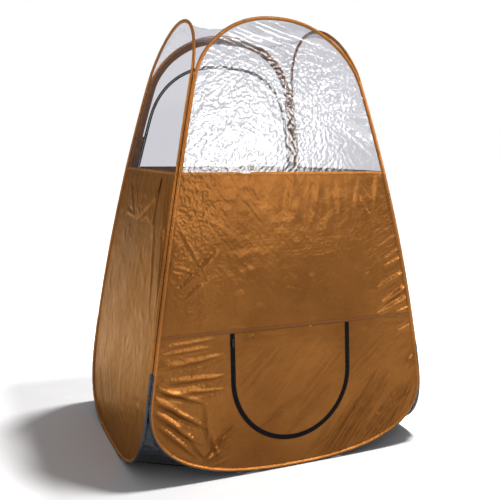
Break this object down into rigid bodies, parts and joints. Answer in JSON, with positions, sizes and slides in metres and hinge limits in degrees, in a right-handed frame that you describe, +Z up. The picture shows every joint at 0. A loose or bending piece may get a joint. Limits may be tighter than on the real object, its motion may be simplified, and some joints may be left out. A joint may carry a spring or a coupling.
{
  "type": "portable steam sauna cabin",
  "caption": "Pop-up fabric cabin on sprung wire hoops, with clear arched windows, a zipped door at the back and a zipped vent flap at the foot of the front wall.",
  "frame": {"origin": "on the floor under the cabin's middle", "axes": "+Z up, the front wall with the vent faces -Y, the wall with the pocket faces -X"},
  "size_m": [1.4448, 1.158, 2.0063],
  "materials": {
    "bronze_fabric": "satin coated nylon, bronze",
    "black_coated_fabric": "crinkled coated fabric, semi-gloss black",
    "clear_film": "clear vinyl film",
    "zip_tape": "woven tape, black",
    "zip_coil": "moulded nylon, black",
    "zip_metal": "semi-gloss black",
    "hook_and_loop": "hook and loop, black",
    "spring_steel": "sprung wire",
    "ferrule_metal": "crimped tube"
  },
  "bodies": {
    "cabin": {"hoop_wire_front": "spring_steel", "hoop_wire_back": "spring_steel", "hoop_wire_left": "spring_steel", "hoop_wire_right": "spring_steel", "hoop_ferrule_front": "ferrule_metal", "hoop_ferrule_back": "ferrule_metal", "hoop_ferrule_left": "ferrule_metal", "hoop_ferrule_right": "ferrule_metal", "hoop_sleeve_front": "bronze_fabric", "hoop_sleeve_back": "bronze_fabric", "hoop_sleeve_left": "bronze_fabric", "hoop_sleeve_right": "bronze_fabric", "front_window": "clear_film", "front_window_hem": "bronze_fabric", "front_upper_panel": "bronze_fabric", "front_seam_band": "bronze_fabric", "front_lower_panel": "bronze_fabric", "vent_zip_tape_fixed": "zip_tape", "vent_zip_coil_fixed": "zip_coil", "left_window": "clear_film", "left_window_hem": "bronze_fabric", "left_panel": "bronze_fabric", "right_window": "clear_film", "right_window_hem": "bronze_fabric", "right_panel": "bronze_fabric", "pocket_patch": "bronze_fabric", "pocket_loop_strip": "hook_and_loop", "back_window_surround": "clear_film", "back_arch_band": "bronze_fabric", "back_left_panel": "bronze_fabric", "back_right_panel": "bronze_fabric", "back_sill_panel": "bronze_fabric", "door_zip_tape_fixed": "zip_tape", "door_zip_coil_fixed": "zip_coil", "floor_sheet": "black_coated_fabric", "roof_film": "clear_film", "corner_gusset_front_left": "black_coated_fabric", "corner_gusset_front_right": "black_coated_fabric", "corner_gusset_back_left": "black_coated_fabric", "corner_gusset_back_right": "black_coated_fabric"},
    "vent_flap": {"vent_flap": "bronze_fabric", "vent_zip_tape_moving": "zip_tape", "vent_zip_coil_moving": "zip_coil"},
    "vent_slider": {"vent_zip_slider": "zip_metal"},
    "vent_pull": {"vent_zip_pull": "zip_metal"},
    "door": {"door_panel": "bronze_fabric", "door_window": "clear_film", "door_window_hem": "bronze_fabric", "door_zip_tape_moving": "zip_tape", "door_zip_coil_moving": "zip_coil"},
    "door_slider": {"door_zip_slider": "zip_metal"},
    "door_pull": {"door_zip_pull": "zip_metal"},
    "pocket_flap": {"pocket_flap": "bronze_fabric", "pocket_hook_strip": "hook_and_loop"}
  },
  "joints": [
    {"name": "vent_flap_hinge", "type": "hinge", "parent": "cabin", "child": "vent_flap", "pos_m": [-0.014, -0.53781, 0.63], "axis": [-1, 0, 0], "range_deg": [0, 110]},
    {"name": "vent_slider_run", "type": "slide", "parent": "vent_flap", "child": "vent_slider", "axis": [0, -0.0786, -0.9969], "range_m": [0, 0.18]},
    {"name": "vent_pull_swing", "type": "hinge", "parent": "vent_slider", "child": "vent_pull", "pos_m": [-0.298, -0.54762, 0.60052], "axis": [-1, 0, 0], "range_deg": [0, 150]},
    {"name": "door_hinge", "type": "hinge", "parent": "cabin", "child": "door", "pos_m": [0, 0.57012, 0.12], "axis": [-1, 0, 0], "range_deg": [0, 100]},
    {"name": "door_slider_run", "type": "slide", "parent": "door", "child": "door_slider", "axis": [0.1474, 0.0841, -0.9855], "range_m": [0, 0.15]},
    {"name": "door_pull_swing", "type": "hinge", "parent": "door_slider", "child": "door_pull", "pos_m": [0.57065, 0.54396, 0.64055], "axis": [0.9882, -0.0143, 0.1524], "range_deg": [0, 150]},
    {"name": "pocket_flap_hinge", "type": "hinge", "parent": "cabin", "child": "pocket_flap", "pos_m": [-0.5223, 0.02, 1.284], "axis": [0, 1, 0], "range_deg": [0, 150]}
  ]
}
